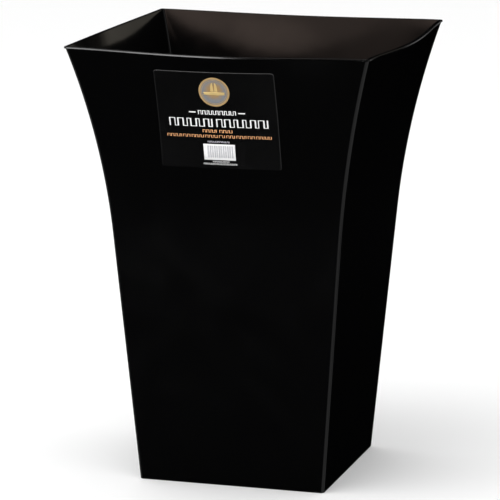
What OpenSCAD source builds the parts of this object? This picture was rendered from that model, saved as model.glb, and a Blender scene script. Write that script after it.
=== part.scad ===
// Tall square bucket with flared walls, moulded in one piece, and the printed label stuck to its front wall.
// Millimetres. The origin is the centre of the base on the surface it stands on, +Z is up and the label faces -Y.

/* [Bucket] */
// Height from the foot to the rim's corners
height = 485; // [400:1:600]
// Width across the base
base_w = 209.3; // [170:0.1:240]
// Width across the top of the walls, measured along one side
mouth_w = 333.2; // [320:0.1:360]
// Height where the straight taper turns into the flare
flare_start = 277; // [220:1:300]
// Lean of the straight lower walls, in degrees
lean = 4.67; // [2:0.01:6]
// How far the middle of each wall swells outwards at the rim
bow = 7.5; // [0:0.5:12]
// How far the middle of each wall's rim lies below its corners
dip = 2.7; // [0:0.1:6]
// Thickness of the walls
wall = 2.2; // [1.5:0.1:3]
// Radius of the upright outside corners
corner_r = 3.5; // [2.5:0.5:8]

/* [Rim and base] */
// Height of the rim's upright outer face
lip_h = 2.3; // [1:0.1:5]
// How far the rim stands proud of the walls
lip_out = 1.2; // [0.2:0.1:2]
// Width of the rim's top face
rim_t = 4; // [3:0.1:5]
// Depth over which the wall thickens up to the rim
rim_deep = 100; // [20:1:150]
// Height of the foot that runs round the underside
foot_h = 4; // [2:0.5:8]
// Width of the foot
foot_w = 4; // [3:0.5:8]
// Thickness of the floor
floor_t = 3; // [2:0.5:5]

/* [Label] */
// Width of the label
label_w = 132; // [122:1:150]
// Height of the label, measured along the wall
label_h = 111; // [100:1:120]
// Height of the label's centre
label_z = 413; // [400:0.5:420]
// Sideways place of the label's centre
label_x = -1; // [-5:0.5:5]
// How far the label is turned on the wall, in degrees
label_tilt = 0.7; // [-3:0.1:3]
// Radius of the label's corners
label_r = 3; // [1:0.5:6]
// Thickness of the label stock with its glue
label_t = 0.3; // [0.2:0.05:0.5]
// Diameter of the foil seal
seal_d = 33.8; // [30:0.1:36]

/* [Hidden] */

side_steps = 12;      // spans along each flat side
corner_steps = 4;     // spans round each upright corner
flare_rows = 18;      // rows of facets up the flare
swell_power = 1.8;    // how full the bow and the dip are along a side
corner_in_r = 2;      // radius of the upright inside corners
lip_r = 3;            // radius of the rim's corners
glue_gap = 0.05;      // room between a facet of the wall and the label
print_gap = 0.03;     // room between two layers of the label
ink_t = 0.1;          // thickness of a printed or foil layer
label_cell = 11;      // length of the label's facets
seal_rim = 1.8;       // width of the seal's foil rim

// Where the printed layers lie on the label, across and up from its centre: a centre, or the lowest and highest line
seal_centre = [-0.8, 32.4];
heading_band = [5.9, 10.6];
dash_band = [7.6, 8.9];
title_band = [-8.3, 1];
size_band = [-14.8, -11.6];
strapline_band = [-20.7, -17.7];
item_band = [-26.4, -24.7];
patch_band = [-46.3, -28.1];
bar_band = [-43, -31];
code_band = [-49, -47.5];
maker_band = [-51.7, -50];
patch_left = -18.4;
patch_w = 34.9;

// The flare is an arc that leaves the straight taper at a tangent and ends at the mouth.
flare_rise = height - flare_start;
flare_out = (mouth_w - base_w) / 2 - flare_start * tan(lean);
top_lean = 2 * atan(flare_out / flare_rise) - lean;
flare_r = flare_rise / (sin(top_lean) - sin(lean));
arc_x = base_w / 2 + flare_start * tan(lean) + flare_r * cos(lean);
arc_z = flare_start - flare_r * sin(lean);
floor_z = foot_h + floor_t;

// Half the outside width at height z
function half_w(z) = z <= flare_start ? base_w / 2 + z * tan(lean)
                                      : arc_x - flare_r * cos(asin((z - arc_z) / flare_r));
// Thickness of the rim, and the wall's thickness at height z, which grows up to it by a smooth step
rim_wall = half_w(height) - half_w(height - lip_h) - lip_out + rim_t;
function wall_at(z) = let (s = min(1, max(0, (z - height + rim_deep) / rim_deep)))
    wall + (rim_wall - wall) * s * s * (3 - 2 * s);
// Share of the bow and the dip that has built up at height z, from 0 at the start of the flare to 1 at the rim
function build_up(z) = pow(max(0, (z - flare_start) / flare_rise), 2);
// Share of the bow and the dip at a place along a side, from 0 at the corners to 1 in the middle
function swell(x, half) = pow(max(0, 1 - pow(x / half, 2)), swell_power);

// A point of the -Y side of a ring, x along it
function side_point(x, z, half) =
    let (s = build_up(z) * swell(x, half)) [x, -half - bow * s, z - dip * s];
function quarter_turn(p, k) = let (c = cos(90 * k), s = sin(90 * k)) [p.x * c - p.y * s, p.x * s + p.y * c, p.z];
// A square ring with bowed sides and round corners
function ring(z, half, r) = [
    for (k = [0:3]) each [
        for (i = [0:side_steps]) quarter_turn(side_point((2 * i / side_steps - 1) * (half - r), z, half), k),
        for (j = [1:corner_steps - 1]) let (a = 90 * j / corner_steps)
            quarter_turn([half - r + r * sin(a), -(half - r) - r * cos(a), z], k)
    ]
];

// Closed solid through a list of rings that all have n points: the first and the last ring are capped.
// Each cap fans out from the point at fan, which lies on a corner's arc, in line with no side.
module ring_solid(rings, fan) {
    n = len(rings[0]);
    last = len(rings) - 1;
    polyhedron(
        points = [for (r = rings) each r],
        faces = [
            [for (i = [0:n - 1]) (fan + i) % n],
            for (k = [0:last - 1]) for (i = [0:n - 1]) let (a = k * n + i, b = k * n + (i + 1) % n) each
                [[a, a + n, b], [b, a + n, b + n]],
            [for (i = [n - 1:-1:0]) last * n + (fan + i) % n]
        ],
        convexity = 6);
}

module planter_shell() {
    lip_low = height - lip_h;
    rim_half = half_w(lip_low) + lip_out;
    color([0.02, 0.02, 0.022]) ring_solid([
        ring(foot_h, base_w / 2 - foot_w, corner_in_r),
        ring(0, base_w / 2 - foot_w, corner_in_r),
        ring(0, base_w / 2, corner_r),
        for (k = [0:flare_rows]) let (z = flare_start + (lip_low - flare_start) * k / flare_rows)
            ring(z, half_w(z), corner_r),
        ring(lip_low, rim_half, lip_r),
        ring(height, rim_half, lip_r),
        for (k = [flare_rows:-1:0]) let (z = flare_start + flare_rise * k / flare_rows)
            ring(z, half_w(z) - wall_at(z), corner_in_r),
        ring(floor_z, half_w(floor_z) - wall, corner_in_r)
    ], side_steps + corner_steps / 2);
}

// A point of the label: a across it and b up it from its centre, lifted off the wall along the wall's normal
function on_label(p, lift) =
    let (x = label_x + p.x * cos(label_tilt) - p.y * sin(label_tilt),
         up = p.y * cos(label_tilt) + p.x * sin(label_tilt),
         slope = asin((label_z - arc_z) / flare_r) + up / flare_r * 180 / PI,
         z = arc_z + flare_r * sin(slope),
         q = side_point(x, z, half_w(z)))
    [q.x, q.y - lift * cos(slope), q.z - lift * sin(slope)];

// Closed layer between two lifts. rows is a grid of label points, all rows the same length.
module layer(rows, low, high) {
    n = len(rows[0]);
    m = len(rows);
    under = n * m;
    edge = concat([for (i = [0:n - 1]) i], [for (j = [1:m - 1]) j * n + n - 1],
                  [for (i = [n - 2:-1:0]) (m - 1) * n + i], [for (j = [m - 2:-1:1]) j * n]);
    polyhedron(
        points = [for (lift = [high, low]) for (row = rows) for (p = row) on_label(p, lift)],
        faces = [
            for (j = [0:m - 2]) for (i = [0:n - 2]) let (a = j * n + i, b = a + n) each
                [[a, b, a + 1], [a + 1, b, b + 1],
                 [under + a, under + a + 1, under + b], [under + a + 1, under + b + 1, under + b]],
            for (k = [0:len(edge) - 1]) let (a = edge[k], b = edge[(k + 1) % len(edge)]) each
                [[a, b, under + a], [b, under + b, under + a]]
        ],
        convexity = 4);
}

// Rows of a rectangle with round corners
function round_rows(w, h, r, cell) =
    let (turns = [0, 30, 60, 90],
         levels = concat([for (a = turns) -h / 2 + r - r * cos(a)],
                         [for (b = [-h / 2 + r + cell:cell:h / 2 - r - cell / 2]) b],
                         [for (a = turns) h / 2 - r + r * sin(a)]),
         steps = ceil(w / cell))
    [for (b = levels) let (over = max(0, abs(b) - (h / 2 - r)), half = w / 2 - r + sqrt(max(0, r * r - over * over)))
        [for (i = [0:steps]) [half * (2 * i / steps - 1), b]]];

// Closed round layer: rings from the inner radius, which may be 0.2 for a disc, to the outer one
module round_layer(centre, r_in, r_out, low, high) {
    n = 40;
    bands = r_in > 1 ? 1 : 3;
    loop = [for (k = [0:bands]) [r_in + (r_out - r_in) * k / bands, high],
            for (k = [bands:-1:0]) [r_in + (r_out - r_in) * k / bands, low]];
    m = len(loop);
    polyhedron(
        points = [for (q = loop) for (i = [0:n - 1])
            on_label([centre.x + q[0] * cos(360 * i / n), centre.y + q[0] * sin(360 * i / n)], q[1])],
        faces = r_in > 1 ? band_faces(n, m, m) : concat(band_faces(n, m, m - 1),
            [[for (i = [0:n - 1]) i], [for (i = [n - 1:-1:0]) (m - 1) * n + i]]),
        convexity = 4);
}
function band_faces(n, m, count) = [
    for (k = [0:count - 1]) for (i = [0:n - 1])
        let (a = k * n + i, b = k * n + (i + 1) % n, c = (k + 1) % m * n + i, d = (k + 1) % m * n + (i + 1) % n) each
        [[a, c, b], [b, c, d]]
];

// Blocks side by side from a place across the label, each as [width, gap after it], in a band up the label
module blocks(from, widths, band, low, high) {
    starts = [for (i = 0, a = from; i < len(widths); a = a + widths[i][0] + widths[i][1], i = i + 1) a];
    for (i = [0:len(widths) - 1])
        layer([for (b = band) [[starts[i], b], [starts[i] + widths[i][0], b]]], low, high);
}

// Layers of ink and foil lie on the label, and a second one on the first
stock_top = glue_gap + label_t;
ink_low = stock_top + print_gap;
ink_high = ink_low + ink_t;
second_low = ink_high + print_gap;
second_high = second_low + ink_t;
module ink(from, widths, band) { blocks(from, widths, band, ink_low, ink_high); }

module label_stock() {
    color([0.05, 0.05, 0.05])
        layer(round_rows(label_w, label_h, label_r, label_cell), glue_gap, stock_top);
}

module seal_disc() {
    color([0.42, 0.44, 0.46])
        round_layer(seal_centre, 0.2, seal_d / 2 - seal_rim - print_gap, ink_low, ink_high);
}

module seal_ring() {
    color([0.80, 0.66, 0.38])
        round_layer(seal_centre, seal_d / 2 - seal_rim, seal_d / 2, ink_low, ink_high);
}

// Two leaves that lean apart, under them a ribbon
module seal_sprig() {
    leaf_h = 9;
    leaf_foot = 1.5;
    ribbon_band = [-3.6, -1];
    color([0.86, 0.70, 0.36]) {
        for (side = [-1, 1])
            layer([for (k = [0:6]) let (f = k / 6, mid = side * (1.6 + 1.6 * f), half = 0.2 + 0.9 * sin(180 * f))
                      [for (e = [-1, 1]) seal_centre + [mid + e * half, leaf_foot + leaf_h * f]]],
                  second_low, second_high);
        layer([for (b = ribbon_band) [for (a = [-12:6:12]) seal_centre + [a, b]]], second_low, second_high);
    }
}

// A dash, a word and a dash
module heading_print() {
    dash = [[7.6, 0]];
    color("white") {
        ink(-31, dash, dash_band);
        ink(-21, [for (k = [0:9]) [k % 3 == 1 ? 2.5 : 3.4, 1]], heading_band);
        ink(23.3, dash, dash_band);
    }
}

// Two words in large blocks
module title_print() {
    color("white") {
        ink(-54, [for (k = [0:5]) [k % 2 == 0 ? 7.2 : 5.6, 1.4]], title_band);
        ink(-2, [for (k = [0:6]) [k % 2 == 0 ? 6 : 7.6, 1.4]], title_band);
    }
}

// A short line and a long one
module strapline_print() {
    words = [16, 8, 13.5, 13.5, 6.5, 9.5, 11, 7.5, 16.4];
    color([0.86, 0.48, 0.20]) {
        ink(-17.7, [[15.5, 3], [14.3, 0]], size_band);
        ink(-57.6, [for (w = words) [w, 1.6]], strapline_band);
    }
}

module barcode_patch() {
    color("white") ink(patch_left, [[patch_w, 0]], patch_band);
}

module barcode_bars() {
    color([0.35, 0.35, 0.36])
        blocks(-14, [for (k = [0:16]) [0.5 + 0.4 * (k * 7 % 3), 0.4 + 0.3 * (k * 5 % 3)]], bar_band,
               second_low, second_high);
}

module small_print() {
    color([0.75, 0.75, 0.75]) {
        ink(-13.1, [[8, 1.5], [6, 1.5], [7, 0]], item_band);
        ink(-9, [[8, 1.5], [8.5, 0]], code_band);
        ink(-19.4, [[9.5, 1.5], [7, 1.5], [8, 1.5], [8, 0]], maker_band);
    }
}

planter_shell();
label_stock();
seal_disc();
seal_ring();
seal_sprig();
heading_print();
title_print();
strapline_print();
barcode_patch();
barcode_bars();
small_print();
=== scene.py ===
"""Tall square flared bucket with a printed label: its finished surfaces, their materials and a studio.

Lengths are metres, +Z is up, the label faces -Y and the bucket stands on z = 0.
"""

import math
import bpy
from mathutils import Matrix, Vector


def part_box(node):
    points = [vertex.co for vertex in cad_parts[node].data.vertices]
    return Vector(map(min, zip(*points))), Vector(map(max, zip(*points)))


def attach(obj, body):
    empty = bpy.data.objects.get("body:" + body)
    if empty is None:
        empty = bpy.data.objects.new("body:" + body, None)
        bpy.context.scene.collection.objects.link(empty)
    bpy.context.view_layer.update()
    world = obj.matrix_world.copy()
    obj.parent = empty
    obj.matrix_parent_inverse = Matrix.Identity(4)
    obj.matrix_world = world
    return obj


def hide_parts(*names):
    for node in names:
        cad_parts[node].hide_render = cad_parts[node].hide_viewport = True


bl_info = {
    "name": "Flared Square Bucket",
    "version": (1, 0, 0),
    "blender": (4, 5, 0),
    "location": "3D View > Sidebar > Bucket",
    "description": "Builds a moulded flared bucket, its label and a soft studio round the packed part",
    "category": "Object",
}

import bpy
import numpy as np
from bpy.props import FloatProperty, FloatVectorProperty, PointerProperty
from mathutils import Quaternion, Vector

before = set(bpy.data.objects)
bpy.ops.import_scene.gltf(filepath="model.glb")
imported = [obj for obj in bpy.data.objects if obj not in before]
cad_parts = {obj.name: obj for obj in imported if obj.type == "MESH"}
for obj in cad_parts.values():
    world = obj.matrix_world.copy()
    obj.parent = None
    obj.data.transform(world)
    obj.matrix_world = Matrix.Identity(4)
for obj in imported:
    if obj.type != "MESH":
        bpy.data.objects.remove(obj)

MM = 0.001
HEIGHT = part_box("planter_shell")[1].z

# How finely the shell is divided: round a ring, up the walls, across the floor and round a rounded turn. A
# turn has a row at each end of its arc, and one more on either side to hold the faces beside it flat.
SIDE_SPANS = 36
CORNER_SPANS = 8
STRAIGHT_ROWS = 22
FLARE_ROWS = 46
FLAT_RINGS = 7
TURN_SPANS = 5
TURN_ROWS = TURN_SPANS + 3

# How finely the label, a round band and a disc are divided
FILM_SPANS = 48
ROUND_SPANS = 72
DISC_SPANS = 24

# Power that shapes the swelling of a side between its corners
SWELL_POWER = 1.8

# Section of the gate mark and of its recess, in millimetres above the panel under the floor: the first by
# radius, the second by the distance outside the recess's own radius
GATE_TIP = ((0.9, 0.3), (1.3, 0.4), (1.5, 0.6), (1.7, 0.9))
GATE_EDGE = ((-1.1, 0.9), (-0.5, 0.7), (-0.1, 0.1), (0.4, 0.0), (1.5, 0.0))

# Thickness of the glue under the film, of the gap under each printed layer and of a layer
GLUE_TOP = 0.02 * MM
PRINT_GAP = 0.02 * MM
INK = 0.09 * MM

# The seal's centre, across and up from the label's centre
SEAL_CENTRE = (-0.8 * MM, 32.4 * MM)

# The label's print in millimetres, across and up from the label's centre. A block is its left, right, low and
# high. A key-pattern band adds the number of its stems, their width and the thickness of its bars.
HEADING_DASHES = ((-31, -23.4, 7.6, 8.9), (23.3, 30.9, 7.6, 8.9))
HEADING_BAND = (-21, 20.9, 5.9, 10.6, 18, 1.0, 0.6)
TITLE_BANDS = ((-54, -5.8, -8.3, 1.0, 11, 1.55, 0.7), (-1.9, 55.2, -8.3, 1.0, 13, 1.55, 0.7))
SIZE_BANDS = ((-17.7, -2.2, -14.8, -11.6, 8, 0.75, 0.45), (0.8, 15.1, -14.8, -11.6, 7, 0.75, 0.45))
BARCODE_FIELD = (-18.4, 16.5, -46.3, -28.1)
ITEM_LINE = (-13.1, 10.8, -26.4, -24.7)
SMALL_LINES = ((-9.0, 9.0, -49.0, -47.5), (-19.4, 17.4, -51.7, -50.0))

# The strap line's low and high, half its length, the steps from word to word and the gap after each, all in
# millimetres
STRAP_LOW = -20.7
STRAP_HIGH = -17.7
STRAP_HALF = 57.6
WORD_STEPS = (17.6, 9.6, 15.1, 15.1, 8.1, 11.1, 12.6, 9.1)
WORD_GAP = 1.6

# Pitch, width and bars in millimetres of the stems in the strap line and in the small lines
STRAP_STEMS = (1.9, 0.72, 0.36)
SMALL_STEMS = (1.25, 0.42, 0.28)

# The barcode's bars: how many, and in millimetres where they start, and their low and high
BAR_COUNT = 18
BARS_LEFT = -14.2
BARS_LOW = -43.5
BARS_HIGH = -30

# In a key-pattern band, how far the gaps swing about the mean, the sine's step from one stem to the next, and
# the width of a slim stem as a share of the others'
GAP_SWING = 0.28
GAP_STEP = 2.4
SLIM_STEM = 0.62


# ---------------------------------------------------------------- settings


def length(name, description, default):
    return FloatProperty(name=name, description=description, default=default, unit="LENGTH", precision=5)


def angle(name, description, degrees):
    return FloatProperty(name=name, description=description, default=math.radians(degrees), subtype="ANGLE")


def colour(name, description, default):
    return FloatVectorProperty(
        name=name, description=description, default=default, subtype="COLOR", min=0.0, max=1.0
    )


def number(name, description, default):
    return FloatProperty(name=name, description=description, default=default, min=0.0, precision=4)


class ShellSettings(bpy.types.PropertyGroup):
    """Sizes of the moulding."""

    base_width: length("Base width", "Width across the base", 209.3 * MM)
    mouth_width: length("Mouth width", "Width across the top of the walls", 333.2 * MM)
    flare_start: length("Flare start", "Height where the straight taper turns into the flare", 277 * MM)
    lean: angle("Lean", "Lean of the straight lower walls", 4.67)
    bow: length("Bow", "How far the middle of a wall swells outwards at the rim", 7.5 * MM)
    dip: length("Dip", "How far the middle of a rim lies below its corners", 2.7 * MM)
    wall: length("Wall", "Thickness of the walls", 2.2 * MM)
    corner: length("Corner radius", "Radius of the upright outside corners", 3.5 * MM)
    inner_corner: length("Inside corner radius", "Radius of the upright inside corners", 2 * MM)
    lip_height: length("Lip height", "Height of the rim's upright outer face", 2.3 * MM)
    lip_reach: length("Lip reach", "How far the rim stands proud of the walls", 1.2 * MM)
    lip_corner: length("Lip corner radius", "Radius of the rim's corners", 3 * MM)
    lip_draft: length("Lip draft", "How far the rim's outer face leans in towards its top", 0.14 * MM)
    rim_width: length("Rim width", "Width of the rim's top face", 4 * MM)
    rim_depth: length("Rim depth", "Depth over which the wall thickens up to the rim", 100 * MM)
    foot_height: length("Foot height", "Height of the foot that runs round the underside", 4 * MM)
    foot_width: length("Foot width", "Width of the foot", 4 * MM)
    floor: length("Floor", "Thickness of the floor", 3 * MM)
    gate: length("Gate recess", "Radius of the round recess about the gate mark", 9 * MM)


class LabelSettings(bpy.types.PropertyGroup):
    """Sizes of the label."""

    width: length("Width", "Width of the label", 132 * MM)
    height: length("Height", "Height of the label, measured along the wall", 111 * MM)
    centre: length("Centre height", "Height of the label's centre", 413 * MM)
    offset: length("Offset", "Sideways place of the label's centre", -1 * MM)
    tilt: angle("Tilt", "How far the label is turned on the wall", 0.7)
    corner: length("Corner radius", "Radius of the label's corners", 3 * MM)
    film: length("Film", "Thickness of the label film", 0.28 * MM)
    soft_edge: length("Soft edge", "Width over which the film's cut edge rolls over", 0.7 * MM)
    seal: length("Seal diameter", "Diameter of the foil seal", 33.8 * MM)
    seal_rim: length("Seal rim", "Width of the seal's foil rim", 2.3 * MM)


class FinishSettings(bpy.types.PropertyGroup):
    """Colours and gloss."""

    shell: colour("Plastic", "Colour of the moulded plastic", (0.0013, 0.0013, 0.0014))
    shell_roughness: number("Plastic roughness", "Roughness of the outside of the moulding", 0.13)
    inside_roughness: number("Inside roughness", "Roughness of the inside of the moulding", 0.12)
    label: colour("Label film", "Colour of the label film", (0.0017, 0.0017, 0.0018))
    white: colour("White ink", "Colour of the white ink", (0.93, 0.93, 0.93))
    orange: colour("Orange ink", "Colour of the orange ink", (0.96, 0.46, 0.2))
    # Painted highlight: the colour of the film's rolled edge, strongest along the top, where it stands for
    # light caught on the edge.
    cut_edge_and_highlight: colour("Cut edge", "Colour of the bare film where it was cut", (0.09, 0.09, 0.09))
    grey: colour("Grey ink", "Colour of the grey bars", (0.5, 0.5, 0.53))
    pale: colour("Pale ink", "Colour of the item line", (0.66, 0.64, 0.72))
    gold: colour("Gold foil", "Colour of the gold foil", (0.58, 0.385, 0.17))
    # Painted highlight: the rim's gold foil painted about one and a half times lighter for the sprig and the
    # ribbon.
    highlit_gold: colour("Bright foil", "Colour of the sprig's and the ribbon's foil", (0.86, 0.62, 0.26))
    seal_glow: colour("Seal glow", "Colour of the seal's printed face round the sprig", (0.34, 0.21, 0.08))
    seal: colour("Seal face", "Colour of the seal's printed face", (0.19, 0.2, 0.215))


class StudioSettings(bpy.types.PropertyGroup):
    """Camera and floor."""

    camera_place: FloatVectorProperty(
        name="Camera place",
        description="Where the camera stands",
        default=(0.98093, -3.34944, 0.95578),
        unit="LENGTH",
    )
    camera_turn: angle("Camera turn", "How far round the bucket the camera stands", 16.48)
    camera_drop: angle("Camera drop", "How far the camera looks down", 11.55)
    camera_roll: angle("Camera roll", "How far the camera is rolled", 0.11)
    camera_lens: number("Camera lens", "Focal length in millimetres on a 36 mm sensor", 231.62)
    floor: colour("Floor", "Colour of the floor", (0.93, 0.93, 0.93))


class BucketSettings(bpy.types.PropertyGroup):
    """Everything that a user would change."""

    shell: PointerProperty(type=ShellSettings)
    label: PointerProperty(type=LabelSettings)
    finish: PointerProperty(type=FinishSettings)
    studio: PointerProperty(type=StudioSettings)


# ---------------------------------------------------------------- the wall's formulas


class Wall:
    """The bucket's walls: a straight taper, then an arc that leaves it at a tangent and ends at the mouth."""

    def __init__(self, shell):
        self.shell = shell
        self.rise = HEIGHT - shell.flare_start
        turn_half = shell.base_width / 2 + shell.flare_start * math.tan(shell.lean)
        reach = shell.mouth_width / 2 - turn_half
        top_lean = 2 * math.atan(reach / self.rise) - shell.lean
        self.radius = self.rise / (math.sin(top_lean) - math.sin(shell.lean))
        self.arc_half = turn_half + self.radius * math.cos(shell.lean)
        self.arc_level = shell.flare_start - self.radius * math.sin(shell.lean)

    def half(self, level):
        """Half the outside width: base plus height times the lean's tangent, or the arc's own half width."""
        level = np.asarray(level, float)
        sine = np.clip((level - self.arc_level) / self.radius, -1, 1)
        straight = self.shell.base_width / 2 + level * math.tan(self.shell.lean)
        arc = self.arc_half - self.radius * np.sqrt(1 - sine**2)
        return np.where(level <= self.shell.flare_start, straight, arc)

    def growth(self, level):
        """Share of the bow and the dip at a height: the squared share of the flare that lies below it."""
        return np.maximum(0, (np.asarray(level, float) - self.shell.flare_start) / self.rise) ** 2

    def swell(self, share):
        """Share of the bow and the dip along a side: one less the square of the place, to a power."""
        return np.maximum(0, 1 - np.asarray(share, float) ** 2) ** SWELL_POWER

    def rings(self, half, level, corner, roundness=0.0):
        """Square rings with bowed sides and round corners, as an array of ring, place round it and x, y, z.

        A side runs along x at minus the half width, less the bow times its growth and swell. A quarter arc
        of the corner radius follows it, and the four quarters are quarter turns of the first. Roundness 1
        draws every point of a ring onto a circle of the ring's half width.
        """
        half, level, corner = (np.asarray(v, float)[:, None] for v in (half, level, corner))
        even = np.linspace(-1, 1, SIDE_SPANS - 1)
        beside_corner = 0.5 * MM / (half - corner)
        ones = np.ones_like(half)
        share = np.hstack([-ones, beside_corner - 1, ones * even[1:-1], 1 - beside_corner, ones])
        swelling = self.growth(level) * self.swell(share)
        turn = np.linspace(0, math.pi / 2, CORNER_SPANS + 1)[1:-1]
        x = np.hstack([share * (half - corner), half - corner + corner * np.sin(turn)])
        y = np.hstack([-half - self.shell.bow * swelling, corner - half - corner * np.cos(turn)])
        z = np.hstack([level - self.shell.dip * swelling, level * np.ones_like(turn)])
        quarters = [(x, y, z), (-y, x, z), (-x, -y, z), (y, -x, z)]
        rings = np.concatenate([np.stack(q, axis=-1) for q in quarters], axis=1)
        flat = rings[..., :2]
        circle = half[..., None] * flat / np.linalg.norm(flat, axis=-1, keepdims=True)
        share_round = np.broadcast_to(np.asarray(roundness, float), (len(half),))[:, None, None]
        rings[..., :2] = flat + share_round * (circle - flat)
        return rings


class Label:
    """Maps places on the label, across and up from its centre, onto the front wall."""

    def __init__(self, wall, label):
        self.wall = wall
        self.label = label

    def place(self, across, up, lift):
        """Points lifted off the wall along its normal.

        The label's axes turn by its tilt. Its height runs along the flare's arc, so the slope there is the
        slope at the label's centre plus the height over the arc's radius, and z is the sine of the slope
        times the radius above the arc's centre. The bow and the dip then shift the point as they do the wall.
        """
        wall = self.wall
        shell = wall.shell
        cosine, sine = math.cos(self.label.tilt), math.sin(self.label.tilt)
        x = self.label.offset + across * cosine - up * sine
        along = up * cosine + across * sine
        slope = math.asin((self.label.centre - wall.arc_level) / wall.radius) + along / wall.radius
        level = wall.arc_level + wall.radius * np.sin(slope)
        half = wall.half(level)
        swelling = wall.growth(level) * wall.swell(x / (half - shell.corner))
        y = -half - shell.bow * swelling - lift * np.cos(slope)
        z = level - shell.dip * swelling - lift * np.sin(slope)
        return np.stack([x * np.ones_like(y), y, z], axis=-1)


# ---------------------------------------------------------------- meshes


def grid_faces(rows, columns, wrap):
    """Four-sided faces between neighbours of a grid; wrap joins the last column to the first."""
    row = np.arange(rows - 1)[:, None] * columns
    column = np.arange(columns if wrap else columns - 1)[None, :]
    following = (column + 1) % columns
    corners = [row + column, row + following, row + columns + following, row + columns + column]
    return np.stack(corners, axis=-1).reshape(-1, 4)


def new_piece(name, points, faces, material, nodes):
    """A smooth-shaded mesh object at the origin that rides on the bucket's body and stands for CAD nodes."""
    mesh = bpy.data.meshes.new(name)
    mesh.from_pydata(points.tolist(), [], faces)
    mesh.update()
    mesh.shade_smooth()
    mesh.materials.append(material)
    piece = bpy.data.objects.new(name, mesh)
    bpy.context.scene.collection.objects.link(piece)
    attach(piece, "root")
    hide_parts(*nodes)
    return piece


def capped_rings(rings):
    """Points and faces of a skin through rings, closed by a pole in the middle of the first and the last."""
    count, around = rings.shape[:2]
    points = np.vstack([rings.reshape(-1, 3), rings[0].mean(axis=0), rings[-1].mean(axis=0)])
    faces = grid_faces(count, around, wrap=True).tolist()
    place = np.arange(around)
    following = (place + 1) % around
    last = (count - 1) * around
    first_pole = np.full(around, count * around)
    faces += np.stack([first_pole, following, place], axis=-1).tolist()
    faces += np.stack([last + place, last + following, first_pole + 1], axis=-1).tolist()
    return points, faces


def turned(corners):
    """Profile through corners, each given as half width, level, upright radius and turn.

    Each inner corner becomes an arc of its turn's radius that touches both of its sides: its middle lies on
    the line that halves the corner's angle, the turn over the sine of half that angle away. A point just
    before and just after each arc keeps the faces beside it flat.
    """
    path = np.array(corners, float)
    rows = []
    for before, corner, after in zip(path[:-2], path[1:-1], path[2:]):
        place, upright, turn = corner[:2], corner[2], corner[3]
        back = (before[:2] - place) / np.linalg.norm(before[:2] - place)
        onward = (after[:2] - place) / np.linalg.norm(after[:2] - place)
        half_angle = math.acos(np.clip(back @ onward, -1, 1)) / 2
        halfway = (back + onward) / np.linalg.norm(back + onward)
        middle = place + halfway * turn / math.sin(half_angle)
        reach = turn / math.tan(half_angle)
        sweep = math.pi - 2 * half_angle
        share = np.linspace(0, 1, TURN_SPANS + 1)[:, None]
        from_start = np.sin((1 - share) * sweep) * (place + back * reach - middle)
        from_end = np.sin(share * sweep) * (place + onward * reach - middle)
        arc = middle + (from_start + from_end) / math.sin(sweep)
        hold = 0.3 * turn
        profile = np.vstack([arc[0] + back * hold, arc, arc[-1] + onward * hold])
        rows.append(np.column_stack([profile, np.full(len(profile), upright)]))
    return np.vstack(rows)


def slabs(label, parts):
    """Points and faces of closed flat slabs on the label, each given as a grid, its low and its high lift.

    A grid is an array of row, column and the place across and up. Rows and columns run so that column
    direction crossed with row direction points off the wall. A grid whose columns close on themselves is
    given with wrap True.
    """
    points = []
    faces = []
    start = 0
    for grid, low, high, wrap in parts:
        rows, columns = grid.shape[:2]
        size = rows * columns
        for lift in (high, low):
            points.append(label.place(grid[..., 0], grid[..., 1], lift).reshape(-1, 3))
        top = grid_faces(rows, columns, wrap)
        row_edge = np.arange(columns if wrap else columns - 1)
        beside = (row_edge + 1) % columns
        last = (rows - 1) * columns
        found = [
            top,
            top[:, ::-1] + size,
            np.stack([row_edge + size, beside + size, beside, row_edge], axis=-1),
            np.stack([last + row_edge, last + beside, last + beside + size, last + row_edge + size], axis=-1),
        ]
        if not wrap:
            left = np.arange(rows - 1) * columns
            above = left + columns
            right = left + columns - 1
            found.append(np.stack([left, above, above + size, left + size], axis=-1))
            found.append(np.stack([right + size, right + columns + size, right + columns, right], axis=-1))
        faces += (np.vstack(found) + start).tolist()
        start += 2 * size
    return np.vstack(points), faces


def block(left, right, low, high, columns):
    """Grid of a plain block between two places across the label and two up it."""
    across, up = np.meshgrid(np.linspace(left, right, columns), np.linspace(low, high, 3))
    return np.stack([across, up], axis=-1)


def key_band(left, right, low, high, stems, stem_width, bar):
    """Grid of a key-pattern band: stems joined in turn at the head and at the foot by thin bars.

    It is a ribbon of two columns. At each end of stem k the ribbon turns, so its two edges lie half a stem
    width to either side of the stem, one at the band's edge and the other a bar's thickness inside it. The
    gap before stem k swings about the mean gap by a sine of k, and every third stem is a slim one.
    """
    order = np.arange(stems)
    gaps = np.where(order > 0, 1 + GAP_SWING * np.sin(GAP_STEP * order), 0)
    middles = left + stem_width / 2 + (right - left - stem_width) * np.cumsum(gaps) / gaps.sum()
    rising = order % 2 == 0
    slim = (order % 3 == 1) & (order < stems - 1)
    side = np.where(rising, -1.0, 1.0) * np.where(slim, SLIM_STEM, 1.0) * stem_width / 2
    foot_inner = np.stack([middles + side, np.full(stems, low + bar)], axis=-1)
    foot_outer = np.stack([middles - side, np.full(stems, low)], axis=-1)
    head_outer = np.stack([middles + side, np.full(stems, high)], axis=-1)
    head_inner = np.stack([middles - side, np.full(stems, high - bar)], axis=-1)
    foot = np.stack([foot_inner, foot_outer], axis=1)
    head = np.stack([head_outer, head_inner], axis=1)
    foot[0, 0, 1] = low
    last_end = foot if stems % 2 == 0 else head
    last_end[-1, :, 1] = low if stems % 2 == 0 else high
    pairs = np.where(rising[:, None, None, None], np.stack([foot, head], 1), np.stack([head, foot], 1))
    return pairs.reshape(2 * stems, 2, 2)


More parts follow.
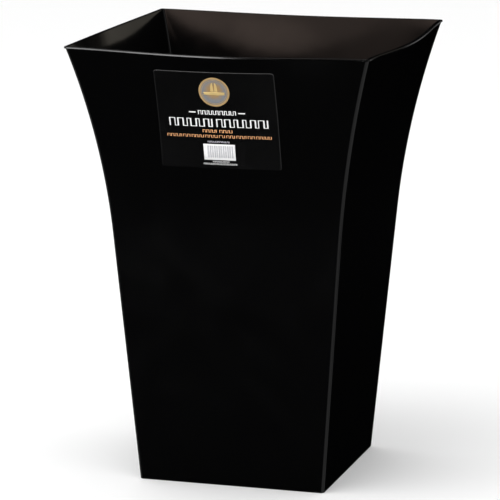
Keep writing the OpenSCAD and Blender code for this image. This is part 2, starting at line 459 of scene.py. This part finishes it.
def ring_band(centre, outer, inner, rows):
    """Grid of a round band, its rows from the outer to the inner radius."""
    angles = np.arange(ROUND_SPANS) * 2 * math.pi / ROUND_SPANS
    radii = np.linspace(outer, inner, rows)[:, None]
    return np.stack([centre[0] + radii * np.cos(angles), centre[1] + radii * np.sin(angles)], axis=-1)


def disc(centre, radius):
    """Grid of a disc: a square's places x and y, each times the root of one less half the other's square."""
    share = np.sin(np.linspace(-math.pi / 2, math.pi / 2, DISC_SPANS + 1))
    x, y = np.meshgrid(share, share)
    across = centre[0] + radius * x * np.sqrt(1 - y**2 / 2)
    up = centre[1] + radius * y * np.sqrt(1 - x**2 / 2)
    return np.stack([across, up], axis=-1)


# ---------------------------------------------------------------- shaders


class Socket:
    """An output of a node that Python's operators work on: each operation adds one Math node."""

    def __init__(self, shader, output):
        self.shader = shader
        self.output = output

    def math(self, operation, first, second):
        return self.shader.node("ShaderNodeMath", {"operation": operation}, {0: first, 1: second})

    def __add__(self, other):
        return self.math("ADD", self, other)

    def __radd__(self, other):
        return self.math("ADD", other, self)

    def __sub__(self, other):
        return self.math("SUBTRACT", self, other)

    def __rsub__(self, other):
        return self.math("SUBTRACT", other, self)

    def __mul__(self, other):
        return self.math("MULTIPLY", self, other)

    def __rmul__(self, other):
        return self.math("MULTIPLY", other, self)


class Shader:
    """The node tree of a material or of the world, built one node at a time."""

    def __init__(self, owner):
        owner.use_nodes = True
        self.tree = owner.node_tree
        self.tree.nodes.clear()

    def node(self, kind, settings=None, values=None, output=0):
        """Adds a node, sets its settings, then the values or links of its sockets, and gives one output."""
        node = self.tree.nodes.new(kind)
        for name, value in (settings or {}).items():
            setattr(node, name, value)
        for name, value in (values or {}).items():
            if isinstance(value, Socket):
                self.tree.links.new(value.output, node.inputs[name])
            else:
                node.inputs[name].default_value = value
        return Socket(self, node.outputs[output]) if len(node.outputs) else node

    def fade(self, value, low, high, start=0.0, end=1.0):
        """A smooth step from start to end while value goes from low to high."""
        return self.node(
            "ShaderNodeMapRange",
            {"interpolation_type": "SMOOTHSTEP"},
            {"Value": value, "From Min": low, "From Max": high, "To Min": start, "To Max": end},
        )

    def blend(self, share, first, second, way="MIX"):
        """A colour between two, or in another of the Mix node's ways."""
        return self.node(
            "ShaderNodeMix",
            {"data_type": "RGBA", "blend_type": way},
            {"Factor": share, 6: first, 7: second},
            output=2,
        )

    def noise(self, vector, scale, detail=2.0):
        return self.node("ShaderNodeTexNoise", {}, {"Vector": vector, "Scale": scale, "Detail": detail})

    def stretched(self, vector, scale, rotation):
        return self.node("ShaderNodeMapping", {}, {"Vector": vector, "Rotation": rotation, "Scale": scale})

    def place(self):
        """Where a point lies, in metres, on an object that sits at the origin."""
        return self.node("ShaderNodeTexCoord", output="Object")

    def attribute(self, name):
        return self.node("ShaderNodeAttribute", {"attribute_name": name}, output="Fac")

    def surface(self, values):
        """The Principled shader with these sockets, joined to the material's output."""
        shader = self.node("ShaderNodeBsdfPrincipled", {}, values)
        self.node("ShaderNodeOutputMaterial", {}, {"Surface": shader})

    def bump(self, height, distance, strength, below=None):
        """A normal bent by a height, on top of another bent normal where one is given."""
        values = {"Height": height, "Distance": distance, "Strength": strength}
        if below is not None:
            values["Normal"] = below
        return self.node("ShaderNodeBump", {}, values)


def rgba(shade):
    return tuple(shade) + (1.0,)


def scaled(shade, amount):
    """A colour times a number, kept within white."""
    return tuple(min(1.0, part * amount) for part in shade) + (1.0,)


def moulded_plastic(finish):
    """Glossy moulded plastic: slow flow waves, fine orange peel, thin scuffs, and its own gloss inside."""
    material = bpy.data.materials.new("moulded_plastic")
    shader = Shader(material)
    place = shader.place()
    inside = shader.attribute("inside")
    waves = shader.noise(place, 16.0)
    peel = shader.noise(place, 420.0, 3.0)
    blotches = shader.noise(place, 38.0, 4.0)

    def scratches(turn):
        """Long thin streaks that lean by a turn about the x axis and half of it about y."""
        streaks = shader.noise(shader.stretched(place, (900.0, 900.0, 26.0), (turn, turn / 2, 0.0)), 1.0)
        return shader.fade(streaks, 0.7, 0.76)

    worn = shader.fade(blotches, 0.5, 0.68)
    scuffed = (scratches(0.35) + scratches(-0.6)) * worn
    base = shader.blend(scuffed * 0.35, rgba(finish.shell), scaled(finish.shell, 4.0))
    gloss = finish.shell_roughness + inside * (finish.inside_roughness - finish.shell_roughness)
    roughness = gloss + (blotches - 0.5) * 0.1 + scuffed * 0.12
    slow = shader.bump(waves, 0.6 * MM, 0.35)
    normal = shader.bump(peel, 0.02 * MM, 0.3, slow)
    shader.surface({"Base Color": base, "Roughness": roughness, "IOR": 1.49, "Normal": normal})
    return material


def label_film(finish):
    """Satin black film: faint grain, slow ripples where the glue took unevenly, and a paler edge that is
    faint all round and a painted highlight along the top and right.
    """
    material = bpy.data.materials.new("label_film")
    shader = Shader(material)
    place = shader.place()
    ripple = shader.noise(place, 55.0, 2.0)
    grain = shader.noise(place, 1600.0, 2.0)
    # The cut attribute is the mask of the painted highlight along the film's edge.
    cut = shader.attribute("cut")
    face = shader.blend(grain, rgba(finish.label), scaled(finish.label, 1.5))
    base = shader.blend(cut, face, rgba(finish.cut_edge_and_highlight))
    roughness = 0.24 + (ripple - 0.5) * 0.12
    normal = shader.bump(grain, 0.006 * MM, 0.3, shader.bump(ripple, 0.25 * MM, 0.3))
    shader.surface({"Base Color": base, "Roughness": roughness, "Normal": normal})
    return material


def printed_ink(name, shade):
    """Ink under a satin varnish: a little lighter and darker from place to place, with a fine tooth."""
    material = bpy.data.materials.new(name)
    shader = Shader(material)
    place = shader.place()
    tooth = shader.noise(place, 1800.0, 2.0)
    patches = shader.noise(place, 220.0, 3.0)
    base = shader.blend(patches, scaled(shade, 0.88), scaled(shade, 1.04))
    normal = shader.bump(tooth, 0.01 * MM, 0.25)
    shader.surface({"Base Color": base, "Roughness": 0.42 + (tooth - 0.5) * 0.1, "Normal": normal})
    return material


def seal_print(finish, centre):
    """The seal's printed face: blue-grey, turning golden over a few millimetres round the sprig."""
    material = bpy.data.materials.new("seal_print")
    shader = Shader(material)
    place = shader.place()
    away = shader.node(
        "ShaderNodeVectorMath", {"operation": "DISTANCE"}, {0: place, 1: centre}, output="Value"
    )
    patches = shader.noise(place, 420.0, 3.0)
    golden = shader.fade(away + (patches - 0.5) * 6 * MM, 5 * MM, 13 * MM, 1.0, 0.0)
    face = shader.blend(patches, scaled(finish.seal, 0.8), scaled(finish.seal, 1.2))
    base = shader.blend(golden, face, rgba(finish.seal_glow))
    normal = shader.bump(patches, 0.02 * MM, 0.3)
    shader.surface({"Base Color": base, "Roughness": 0.4 + (patches - 0.5) * 0.2, "Normal": normal})
    return material


def gold_foil(name, shade):
    """Hot-stamped foil: soft metal, its colour drifting between pale and deep gold, with fine dents."""
    material = bpy.data.materials.new(name)
    shader = Shader(material)
    place = shader.place()
    drift = shader.noise(place, 90.0, 2.0)
    dents = shader.noise(place, 900.0, 3.0)
    base = shader.blend(drift, scaled(shade, 0.75), scaled(shade, 1.2))
    roughness = 0.38 + (dents - 0.5) * 0.25
    normal = shader.bump(dents, 0.02 * MM, 0.35)
    shader.surface({"Base Color": base, "Metallic": 0.35, "Roughness": roughness, "Normal": normal})
    return material


# ---------------------------------------------------------------- pieces


def shell_profile(wall):
    """The moulding's section from the middle of the underside round to the middle of the floor inside.

    Gives each ring's half width, level and upright radius, then its roundness, then whether it is inside.
    The first and the last corner of a turned section only give its directions.
    """
    shell = wall.shell
    outer = shell.corner
    inner = shell.inner_corner

    def half(level):
        return float(wall.half(level))

    base_half = shell.base_width / 2
    foot_inner = base_half - shell.foot_width
    floor_level = shell.foot_height + shell.floor
    lip_low = HEIGHT - shell.lip_height
    rim_half = half(lip_low) + shell.lip_reach
    rim_inner = rim_half - shell.rim_width
    rim_thickness = half(HEIGHT) - rim_inner

    def thick(level):
        """The wall's thickness, which grows by a smooth step over the rim's depth."""
        share = np.clip((level - HEIGHT + shell.rim_depth) / shell.rim_depth, 0, 1)
        return shell.wall + (rim_thickness - shell.wall) * share**2 * (3 - 2 * share)

    def wall_rows(levels, inset, upright):
        return np.column_stack([wall.half(levels) - inset, levels, np.full(len(levels), upright)])

    def flat_rows(halves, level):
        return np.column_stack([halves, np.full(FLAT_RINGS, level), np.full(FLAT_RINGS, inner)])

    def round_rows(spots):
        return np.column_stack([np.array(spots, float), np.zeros(len(spots))])

    tip = [(radius * MM, shell.foot_height + rise * MM) for radius, rise in GATE_TIP]
    edge = [(shell.gate + reach * MM, shell.foot_height + rise * MM) for reach, rise in GATE_EDGE]
    gate = round_rows(tip + edge)
    spread = np.linspace(0.2, 0.93, FLAT_RINGS)
    panel = flat_rows(spread * foot_inner, shell.foot_height)
    above_foot = 20 * MM
    foot = turned([
        (0.9 * foot_inner, shell.foot_height, inner, 0.0),
        (foot_inner, shell.foot_height, inner, 1.2 * MM),
        (foot_inner, 0.0, inner, 0.5 * MM),
        (base_half, 0.0, outer, 0.8 * MM),
        (half(above_foot), above_foot, outer, 0.0),
    ])
    straight = wall_rows(np.linspace(3 * MM, shell.flare_start, STRAIGHT_ROWS), 0.0, outer)
    flare = wall_rows(np.linspace(shell.flare_start, lip_low - 1 * MM, FLARE_ROWS)[1:], 0.0, outer)
    below_lip = lip_low - 4 * MM
    below_rim = HEIGHT - 4 * MM
    rim = turned([
        (half(below_lip), below_lip, outer, 0.0),
        (half(lip_low), lip_low, outer, 0.25 * MM),
        (rim_half, lip_low, shell.lip_corner, 0.3 * MM),
        (rim_half - shell.lip_draft, HEIGHT, shell.lip_corner, 0.6 * MM),
        (rim_inner, HEIGHT, inner, 0.6 * MM),
        (half(below_rim) - thick(below_rim), below_rim, inner, 0.0),
    ])
    flare_levels = np.linspace(HEIGHT - 3 * MM, shell.flare_start, FLARE_ROWS)
    inner_flare = wall_rows(flare_levels, thick(flare_levels), inner)
    straight_levels = np.linspace(shell.flare_start, floor_level + 6 * MM, STRAIGHT_ROWS)[1:]
    inner_straight = wall_rows(straight_levels, shell.wall, inner)
    floor_half = half(floor_level) - shell.wall
    above_floor = floor_level + 12 * MM
    well = turned([
        (half(above_floor) - shell.wall, above_floor, inner, 0.0),
        (floor_half, floor_level, inner, 3 * MM),
        (0.9 * floor_half, floor_level, inner, 0.0),
    ])
    floor = flat_rows(spread[::-1] * floor_half, floor_level)
    middle = round_rows([(9 * MM, floor_level), (3 * MM, floor_level), (0.8 * MM, floor_level)])

    outside = [gate, panel, foot, straight, flare, rim]
    inside = [inner_flare, inner_straight, well, floor, middle]
    rows = np.vstack(outside + inside)
    square_rows = sum(map(len, [foot, straight, flare, rim, inner_flare, inner_straight, well]))
    roundness = np.concatenate([
        np.ones(len(gate)),
        np.linspace(1, 0, FLAT_RINGS),
        np.zeros(square_rows),
        np.linspace(0, 1, FLAT_RINGS),
        np.ones(len(middle)),
    ])
    # The rim's last two turns, on either side of its top face, have the inside's gloss
    outside_count = sum(map(len, outside)) - 2 * TURN_ROWS
    is_inside = np.arange(len(rows)) >= outside_count
    return rows, roundness, is_inside


def build_shell(settings):
    """The moulded bucket as one closed skin, with its inside marked for the material."""
    wall = Wall(settings.shell)
    rows, roundness, is_inside = shell_profile(wall)
    rings = wall.rings(rows[:, 0], rows[:, 1], rows[:, 2], roundness)
    points, faces = capped_rings(rings)
    material = moulded_plastic(settings.finish)
    piece = new_piece("bucket_shell", points, faces, material, ["planter_shell"])
    pole_inside = [False, True]
    inside = np.concatenate([np.repeat(is_inside, rings.shape[1]), pole_inside]).astype(np.float32)
    attribute = piece.data.attributes.new("inside", "FLOAT", "POINT")
    attribute.data.foreach_set("value", inside)


def film_grid(label):
    """Rows and columns of the label, closest along its edges, drawn in at the round corners."""
    half_w, half_h = label.width / 2, label.height / 2
    share = np.sin(np.linspace(-math.pi / 2, math.pi / 2, FILM_SPANS + 1))
    up = share[:, None] * half_h
    over = np.clip(np.abs(up) - (half_h - label.corner), 0, label.corner)
    half_row = half_w - label.corner + np.sqrt(label.corner**2 - over**2)
    return np.stack([half_row * share[None, :], up * np.ones_like(share)[None, :]], axis=-1)


def inset_from_edge(label, grid):
    """How far each place lies inside the label's outline of straight sides and round corners."""
    beyond = np.abs(grid) - (np.array([label.width, label.height]) / 2 - label.corner)
    outside = np.linalg.norm(np.maximum(beyond, 0), axis=-1)
    inside = np.minimum(beyond.max(axis=-1), 0)
    return label.corner - outside - inside


def build_film(settings):
    """The label film, its edge rolled over in a quarter round and marked where it is painted paler: a painted
    highlight along the top, less along the right, and a faint paleness all round.
    """
    label = settings.label
    mapping = Label(Wall(settings.shell), label)
    grid = film_grid(label)
    share = np.clip(inset_from_edge(label, grid) / label.soft_edge, 0, 1)
    lift = GLUE_TOP + (label.film - GLUE_TOP) * np.sqrt(1 - (1 - share) ** 2)
    points, faces = slabs(mapping, [(grid, 0.0, lift + GLUE_TOP, False)])
    material = label_film(settings.finish)
    piece = new_piece("label_film", points, faces, material, ["label_stock"])
    # Painted highlight on the rolled edge: full along the top, a fifth as much along the right and a
    # twentieth all round.
    top = np.clip((grid[..., 1] - label.height / 2) / label.corner + 1, 0, 1)
    right = np.clip((grid[..., 0] - label.width / 2) / label.corner + 1, 0, 1)
    right_highlight, least_cut = 0.2, 0.05
    cut = (1 - share) * np.maximum(np.maximum(top, right_highlight * right), least_cut)
    attribute = piece.data.attributes.new("cut", "FLOAT", "POINT")
    attribute.data.foreach_set("value", np.tile(cut.ravel(), 2).astype(np.float32))


def ink_lifts(label):
    """The low and the high of the first printed layer above the wall, then of the second."""
    low = label.film + GLUE_TOP + PRINT_GAP
    high = low + INK
    return low, high, high + PRINT_GAP, high + PRINT_GAP + INK


def build_seal(settings):
    """The seal: a printed face, a foil rim with a fine line inside it, and a foil sprig over a ribbon, their
    foil painted lighter than the rim's as a painted highlight.
    """
    label = settings.label
    mapping = Label(Wall(settings.shell), label)
    low, high, second_low, second_high = ink_lifts(label)
    radius = label.seal / 2
    face_radius = radius - label.seal_rim
    rim_foil = gold_foil("gold_foil", settings.finish.gold)
    # The sprig's and the ribbon's foil is the rim's foil painted lighter, a painted highlight.
    sprig_foil = gold_foil("highlit_foil", settings.finish.highlit_gold)
    across, up = SEAL_CENTRE
    glow_centre = tuple(mapping.place(np.array(across), np.array(up + 1.5 * MM), high))
    face = seal_print(settings.finish, glow_centre)
    points, faces = slabs(mapping, [(disc(SEAL_CENTRE, face_radius), low, high, False)])
    new_piece("seal_face", points, faces, face, ["seal_disc"])

    rim_rows = 9
    rim = ring_band(SEAL_CENTRE, radius, face_radius + PRINT_GAP, rim_rows)
    crown = high + 0.16 * MM * np.sin(np.linspace(0, math.pi, rim_rows))[:, None] * np.ones(ROUND_SPANS)
    fine = ring_band(SEAL_CENTRE, face_radius - 0.8 * MM, face_radius - 1.3 * MM, 3)
    points, faces = slabs(mapping, [(rim, low, crown, True), (fine, second_low, second_high, True)])
    new_piece("seal_rim", points, faces, rim_foil, ["seal_ring"])

    parts = [leaf(side, second_low, second_high) for side in (-1, 1)]
    parts.append(ribbon(second_low, second_high))
    points, faces = slabs(mapping, parts)
    new_piece("seal_sprig", points, faces, sprig_foil, ["seal_sprig"])


def leaf(side, low, high):
    """A leaf that leans outwards, its inner edge drawing away from the middle as it rises.

    Half its width, in millimetres, is a power of a sine of its length, plus a foot that shrinks with the
    sixth power of the height.
    """
    base_level, length_up = 0.6, 10.0
    along = np.linspace(0, 1, 21)[:, None]
    across = np.linspace(-1, 1, 7)[None, :]
    half = 0.25 + 1.15 * np.sin(math.pi * along**0.8) ** 0.7 + 1.5 * (1 - along) ** 6
    middle = side * (0.3 + 0.9 * along + half)
    grid = np.stack([
        SEAL_CENTRE[0] + (middle + half * across) * MM,
        SEAL_CENTRE[1] + (base_level + length_up * along) * MM * np.ones_like(across),
    ], axis=-1)
    crown = high + 0.12 * MM * np.sin(math.pi * along) * (1 - across**2)
    return grid, low, crown, False


def ribbon(low, high):
    """A ribbon across the seal that widens towards its middle, a notch cut into each end.

    Half its width, in millimetres, grows with one less the square of the place along it. The notch takes
    the last part of its length, and is deepest in the middle of its width.
    """
    half_length, middle_level = 12.2, -1.7
    notch_depth, notch_share = 1.3, 0.14
    across = np.linspace(-1, 1, 33)[None, :]
    up = np.linspace(-1, 1, 5)[:, None]
    notch = np.clip((np.abs(across) - (1 - notch_share)) / notch_share, 0, 1)
    reach = half_length * across - np.sign(across) * notch * notch_depth * (1 - np.abs(up))
    half = 1.35 + 0.55 * (1 - across**2)
    grid = np.stack([
        SEAL_CENTRE[0] + reach * MM * np.ones_like(up),
        SEAL_CENTRE[1] + (middle_level + half * up) * MM,
    ], axis=-1)
    crown = high + 0.08 * MM * (1 - up**2) * np.ones_like(across)
    return grid, low, crown, False


def stem_band(left, right, low, high, pitch, stem_width, bar):
    """A key-pattern band with as many stems as its length holds at a pitch, and at least three."""
    return key_band(left, right, low, high, max(3, round((right - left) / pitch)), stem_width, bar)


def strap_words():
    """The bands of the strap line, one for each word."""
    starts = np.cumsum((0,) + WORD_STEPS) - STRAP_HALF
    ends = np.append(starts[1:] - WORD_GAP, STRAP_HALF)
    return [stem_band(a, b, STRAP_LOW, STRAP_HIGH, *STRAP_STEMS) for a, b in zip(starts, ends)]


def barcode_blocks():
    """The barcode's bars, whose widths and gaps each step through three values in millimetres."""
    bars = np.arange(BAR_COUNT)
    widths = 0.5 + 0.4 * (bars * 7 % 3)
    steps = widths + 0.4 + 0.3 * (bars * 5 % 3)
    lefts = BARS_LEFT + np.cumsum(steps) - steps
    return [block(a, a + width, BARS_LOW, BARS_HIGH, 2) for a, width in zip(lefts, widths)]


def build_print(settings):
    """The printed lines: key-pattern bands stand for lines of type, with a barcode field below them."""
    mapping = Label(Wall(settings.shell), settings.label)
    finish = settings.finish
    low, high, second_low, second_high = ink_lifts(settings.label)

    def printed(name, grids, material, node, lifts=(low, high)):
        points, faces = slabs(mapping, [(grid * MM, *lifts, False) for grid in grids])
        new_piece(name, points, faces, material, [node])

    white = printed_ink("white_ink", finish.white)
    orange = printed_ink("orange_ink", finish.orange)
    grey = printed_ink("grey_ink", finish.grey)
    pale = printed_ink("pale_ink", finish.pale)
    left_dash, right_dash = (block(*dash, 4) for dash in HEADING_DASHES)
    heading = [left_dash, key_band(*HEADING_BAND), right_dash]
    printed("heading_line", heading, white, "heading_print")
    title = [key_band(*band) for band in TITLE_BANDS]
    printed("title_line", title, white, "title_print")
    sizes = [key_band(*band) for band in SIZE_BANDS]
    printed("strap_lines", strap_words() + sizes, orange, "strapline_print")
    printed("barcode_field", [block(*BARCODE_FIELD, 9)], white, "barcode_patch")
    printed("barcode_bars", barcode_blocks(), grey, "barcode_bars", (second_low, second_high))
    printed("item_line", [stem_band(*ITEM_LINE, *SMALL_STEMS)], pale, "small_print")
    small = [stem_band(*line, *SMALL_STEMS) for line in SMALL_LINES]
    printed("small_lines", small, white, "small_print")


# ---------------------------------------------------------------- studio


def build_camera(studio):
    """A long lens that looks down at the bucket from its front right."""
    data = bpy.data.cameras.new("camera")
    data.sensor_width = 36.0
    data.lens = studio.camera_lens
    camera = bpy.data.objects.new("camera", data)
    bpy.context.scene.collection.objects.link(camera)
    bpy.context.scene.camera = camera
    turn, drop = studio.camera_turn, studio.camera_drop
    ahead = Vector((-math.sin(turn) * math.cos(drop), math.cos(turn) * math.cos(drop), -math.sin(drop)))
    camera.location = studio.camera_place
    camera.rotation_mode = "QUATERNION"
    camera.rotation_quaternion = ahead.to_track_quat("-Z", "Y") @ Quaternion((0, 0, 1), studio.camera_roll)


def build_floor(studio):
    """A wide pale floor that reflections don't see."""
    mesh = bpy.data.meshes.new("studio_floor")
    reach = 14.0
    corners = [(-reach, -reach, 0), (reach, -reach, 0), (reach, reach, 0), (-reach, reach, 0)]
    mesh.from_pydata(corners, [], [(0, 1, 2, 3)])
    floor = bpy.data.objects.new("studio_floor", mesh)
    bpy.context.scene.collection.objects.link(floor)
    floor.visible_glossy = False
    material = bpy.data.materials.new("studio_paper")
    Shader(material).surface({"Base Color": rgba(studio.floor), "Roughness": 0.9})
    mesh.materials.append(material)


# Brightness of the even light, which everything but a reflection sees
SURROUND = 1.06

# Soft round cards that only reflections see: azimuth and elevation in degrees, the radii in degrees between
# which each fades out, its strength and its colour. Azimuth 0 is in front of the label and 90 to its right.
WARM = (1.0, 0.76, 0.65)
CREAM = (1.0, 0.92, 0.78)
NEUTRAL = (1.0, 1.0, 1.0)
CARDS = {
    "front_left": (-11, 44, 19.9, 21.2, 0.64, WARM),
    "front_glow": (-14, 28, 2.5, 5.6, 0.5, WARM),
    "front_side": (-27, 19, 5, 9.5, 0.36, WARM),
    "low_front": (-21.5, -6.5, 5, 7.5, 7.5, NEUTRAL),
    "behind_right": (153, 7, 8.5, 12.5, 0.26, CREAM),
    "low_behind": (168, -5.5, 3.5, 7, 0.24, NEUTRAL),
    "right": (80, 22, 14, 34, 0.4, NEUTRAL),
    "left": (-100, 24, 14, 34, 0.9, NEUTRAL),
    "back": (215, 30, 8, 24, 0.9, NEUTRAL),
    "above": (0, 88, 14, 20, 0.9, NEUTRAL),
    "low_right": (50, -40, 28, 47, 0.4, NEUTRAL),
    "low_right_back": (125, -34, 12, 26, 0.35, NEUTRAL),
    "low_left": (-62, -28, 9, 21, 0.4, NEUTRAL),
    "low_left_back": (-110, -36, 14, 30, 0.3, NEUTRAL),
    "low_back": (192, -40, 10, 22, 0.35, NEUTRAL),
    "inner_right": (126, 4, 6, 14, 0.4, NEUTRAL),
    "inner_left": (-52, 7, 6, 15, 0.4, NEUTRAL),
}


def build_world():
    """Even white light, with soft cards on black in its place for reflections."""
    world = bpy.data.worlds.new("studio")
    bpy.context.scene.world = world
    shader = Shader(world)
    way = shader.node("ShaderNodeTexCoord", output="Generated")
    seen = (0.0, 0.0, 0.0, 1.0)
    for turn, rise, inner, outer, strength, shade in CARDS.values():
        turn, rise = math.radians(turn), math.radians(rise)
        card_way = (math.sin(turn) * math.cos(rise), -math.cos(turn) * math.cos(rise), math.sin(rise))
        nearness = shader.node(
            "ShaderNodeVectorMath", {"operation": "DOT_PRODUCT"}, {0: way, 1: card_way}, output="Value"
        )
        share = shader.fade(nearness, math.cos(math.radians(outer)), math.cos(math.radians(inner)))
        tone = tuple(part * strength for part in shade) + (1.0,)
        seen = shader.blend(share, seen, tone, "ADD")
    mirrored = shader.node("ShaderNodeLightPath", output="Is Glossy Ray")
    light = shader.blend(mirrored, (SURROUND, SURROUND, SURROUND, 1.0), seen)
    background = shader.node("ShaderNodeBackground", {}, {"Color": light, "Strength": 1.0})
    shader.node("ShaderNodeOutputWorld", {}, {"Surface": background})


def build_overhead_box():
    """A square light over the bucket's front left, turned towards the bucket and seen by nothing directly."""
    place = Vector((-0.8, -1.2, 3.0))
    aim = Vector((0.0, 0.0, 0.2))
    data = bpy.data.lights.new("overhead_box", "AREA")
    data.shape = "SQUARE"
    data.size = 2.4
    data.energy = 40.0
    light = bpy.data.objects.new("overhead_box", data)
    light.location = place
    light.rotation_mode = "QUATERNION"
    light.rotation_quaternion = (aim - place).to_track_quat("-Z", "Y")
    light.visible_camera = False
    light.visible_glossy = False
    bpy.context.scene.collection.objects.link(light)


# ---------------------------------------------------------------- operators and panel


class BUCKET_OT_stage(bpy.types.Operator):
    """Make the camera, the floor, the soft world and the light"""

    bl_idname = "bucket.stage"
    bl_label = "Studio"

    def execute(self, context):
        studio = context.scene.bucket.studio
        build_camera(studio)
        build_floor(studio)
        build_world()
        build_overhead_box()
        context.scene.view_settings.view_transform = "Standard"
        return {"FINISHED"}


class BUCKET_OT_shell(bpy.types.Operator):
    """Make the moulded bucket with its rim, foot and gate mark"""

    bl_idname = "bucket.shell"
    bl_label = "Moulded Shell"

    def execute(self, context):
        build_shell(context.scene.bucket)
        return {"FINISHED"}


class BUCKET_OT_film(bpy.types.Operator):
    """Make the label film on the front wall"""

    bl_idname = "bucket.film"
    bl_label = "Label Film"

    def execute(self, context):
        build_film(context.scene.bucket)
        return {"FINISHED"}


class BUCKET_OT_seal(bpy.types.Operator):
    """Make the foil seal on the label"""

    bl_idname = "bucket.seal"
    bl_label = "Foil Seal"

    def execute(self, context):
        build_seal(context.scene.bucket)
        return {"FINISHED"}


class BUCKET_OT_print(bpy.types.Operator):
    """Make the label's printed lines and its barcode field"""

    bl_idname = "bucket.print"
    bl_label = "Printed Lines"

    def execute(self, context):
        build_print(context.scene.bucket)
        return {"FINISHED"}


class BUCKET_PT_panel(bpy.types.Panel):
    """Lists the bucket's settings and its operators"""

    bl_idname = "BUCKET_PT_panel"
    bl_label = "Flared Square Bucket"
    bl_space_type = "VIEW_3D"
    bl_region_type = "UI"
    bl_category = "Bucket"

    def draw(self, context):
        settings = context.scene.bucket
        for group, operators in (
            (settings.studio, (BUCKET_OT_stage,)),
            (settings.shell, (BUCKET_OT_shell,)),
            (settings.label, (BUCKET_OT_film, BUCKET_OT_seal, BUCKET_OT_print)),
            (settings.finish, ()),
        ):
            box = self.layout.box()
            for name in group.__annotations__:
                box.prop(group, name)
            for operator in operators:
                box.operator(operator.bl_idname)


CLASSES = (
    ShellSettings,
    LabelSettings,
    FinishSettings,
    StudioSettings,
    BucketSettings,
    BUCKET_OT_stage,
    BUCKET_OT_shell,
    BUCKET_OT_film,
    BUCKET_OT_seal,
    BUCKET_OT_print,
    BUCKET_PT_panel,
)


def register():
    for cls in CLASSES:
        bpy.utils.register_class(cls)
    bpy.types.Scene.bucket = PointerProperty(type=BucketSettings)


def unregister():
    del bpy.types.Scene.bucket
    for cls in reversed(CLASSES):
        bpy.utils.unregister_class(cls)


def main():
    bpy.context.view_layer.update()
    register()
    bpy.ops.bucket.stage()
    bpy.ops.bucket.shell()
    bpy.ops.bucket.film()
    bpy.ops.bucket.seal()
    bpy.ops.bucket.print()


if __name__ == "__main__":
    main()
